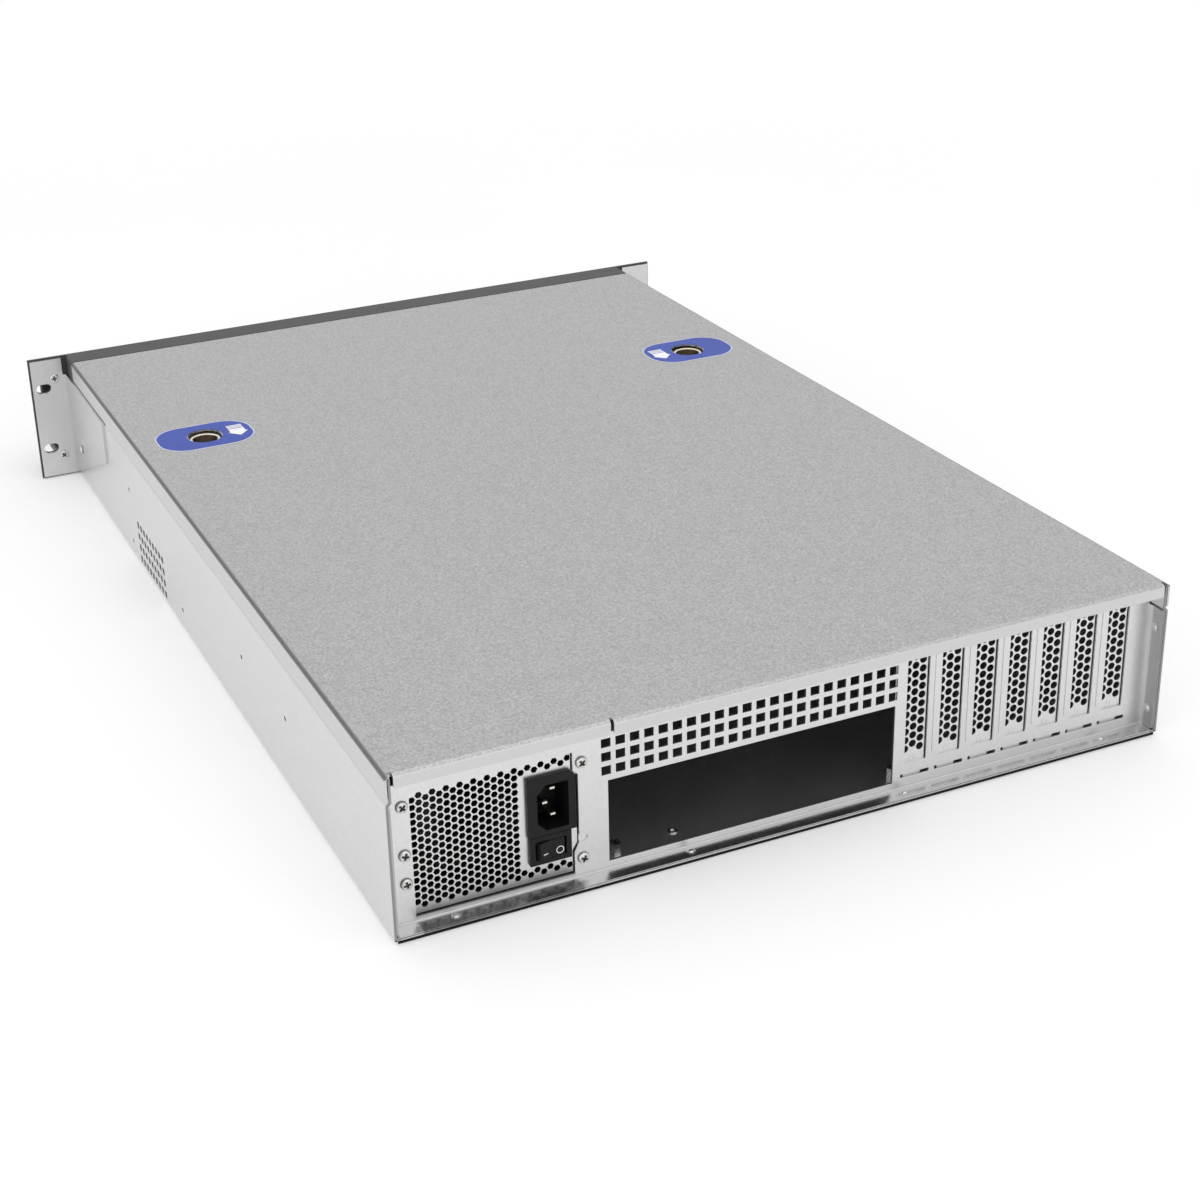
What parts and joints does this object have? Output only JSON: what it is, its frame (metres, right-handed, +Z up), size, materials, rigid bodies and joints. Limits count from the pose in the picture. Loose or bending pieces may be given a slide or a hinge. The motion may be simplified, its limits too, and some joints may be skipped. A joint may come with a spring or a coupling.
{
  "type": "empty rackmount server case",
  "caption": "Two-unit 19-inch rackmount server case with sliding lid, lid latches, rear power supply, perforated slot covers, board window, handles and rack ears.",
  "frame": {"origin": "middle of the bounding box at its underside", "axes": "+Y runs from the front handles to the rear wall, +Z up, +X to the side with the power supply"},
  "size_m": [0.4826, 0.688, 0.0882],
  "materials": {
    "tray_steel": "galvanised sheet",
    "wall_steel": "galvanised sheet",
    "cover_steel": "grained galvanised sheet",
    "psu_steel": "bright zinc-plated sheet",
    "ear_steel": "satin zinc plating",
    "screw_steel": "nickel-plated fasteners",
    "spring_steel": "spring steel",
    "label_blue": "printed film",
    "latch_button": "moulded plastic with a pale rim",
    "board": "circuit board",
    "fan_plastic": "moulded fan plastic",
    "socket_plastic": "black moulded plastic",
    "pin_metal": "plated contact",
    "panel_paint": "fine-textured black powder coat",
    "handle_metal": "black coat",
    "key_plastic": "moulded keys",
    "lamp": "clear light pipe"
  },
  "bodies": {
    "chassis": {"chassis_tray": "tray_steel", "cross_bar": "tray_steel", "fan_wall": "tray_steel", "drive_cage": "tray_steel", "rear_wall": "wall_steel", "slot_cover_1": "wall_steel", "slot_cover_2": "wall_steel", "slot_cover_3": "wall_steel", "slot_cover_4": "wall_steel", "slot_cover_5": "wall_steel", "slot_cover_6": "wall_steel", "slot_cover_7": "wall_steel", "psu_case": "psu_steel", "psu_lid": "psu_steel", "ear_left": "ear_steel", "ear_right": "ear_steel", "wall_rivets": "screw_steel", "slot_screws": "screw_steel", "psu_screws": "screw_steel", "ear_screws": "screw_steel", "motherboard_posts": "screw_steel", "latch_spring_left": "spring_steel", "latch_spring_right": "spring_steel", "latch_seat_left": "spring_steel", "latch_seat_right": "spring_steel", "psu_board": "board", "control_board": "board", "psu_fan_frame": "fan_plastic", "fan_frame_1": "fan_plastic", "fan_frame_2": "fan_plastic", "fan_frame_3": "fan_plastic", "inlet_socket": "socket_plastic", "switch_frame": "socket_plastic", "inlet_pins": "pin_metal", "usb_sockets": "pin_metal", "front_panel": "panel_paint", "bay_cover_lower": "panel_paint", "bay_cover_upper": "panel_paint", "handle_left": "handle_metal", "handle_right": "handle_metal", "status_lamps": "lamp"},
    "cover": {"top_cover": "cover_steel", "latch_label_left": "label_blue", "latch_label_right": "label_blue"},
    "button_left": {"latch_button_left": "latch_button"},
    "button_right": {"latch_button_right": "latch_button"},
    "rocker": {"switch_rocker": "socket_plastic"},
    "power_fan": {"psu_fan_rotor": "fan_plastic"},
    "case_fan_1": {"fan_rotor_1": "fan_plastic"},
    "case_fan_2": {"fan_rotor_2": "fan_plastic"},
    "case_fan_3": {"fan_rotor_3": "fan_plastic"},
    "power_key": {"power_button": "key_plastic"},
    "reset_key": {"reset_button": "key_plastic"}
  },
  "joints": [
    {"name": "cover_slide", "type": "slide", "parent": "chassis", "child": "cover", "axis": [0, 1, 0], "range_m": [0, 0.015]},
    {"name": "latch_left", "type": "slide", "parent": "chassis", "child": "button_left", "axis": [0, 0, -1], "range_m": [0, 0.004], "stiffness_N_per_m": 1200, "springref_m": -0.002, "deforming": ["latch_spring_left"]},
    {"name": "latch_right", "type": "slide", "parent": "chassis", "child": "button_right", "axis": [0, 0, -1], "range_m": [0, 0.004], "stiffness_N_per_m": 1200, "springref_m": -0.002, "deforming": ["latch_spring_right"]},
    {"name": "switch_rock", "type": "hinge", "parent": "chassis", "child": "rocker", "pos_m": [0.13185, 0.3315, 0.0226], "axis": [0, 0, -1], "range_deg": [0, 14]},
    {"name": "power_fan_spin", "type": "hinge", "parent": "chassis", "child": "power_fan", "pos_m": [0.1597, 0.1525, 0.0362], "axis": [0, 1, 0], "continuous": true},
    {"name": "case_fan_1_spin", "type": "hinge", "parent": "chassis", "child": "case_fan_1", "pos_m": [-0.12, -0.1397, 0.042], "axis": [0, 1, 0], "continuous": true},
    {"name": "case_fan_2_spin", "type": "hinge", "parent": "chassis", "child": "case_fan_2", "pos_m": [0, -0.1397, 0.042], "axis": [0, 1, 0], "continuous": true},
    {"name": "case_fan_3_spin", "type": "hinge", "parent": "chassis", "child": "case_fan_3", "pos_m": [0.12, -0.1397, 0.042], "axis": [0, 1, 0], "continuous": true},
    {"name": "power_press", "type": "slide", "parent": "chassis", "child": "power_key", "axis": [0, 1, 0], "range_m": [0, 0.0015], "stiffness_N_per_m": 800, "springref_m": -0.0005},
    {"name": "reset_press", "type": "slide", "parent": "chassis", "child": "reset_key", "axis": [0, 1, 0], "range_m": [0, 0.0015], "stiffness_N_per_m": 800, "springref_m": -0.0005}
  ]
}
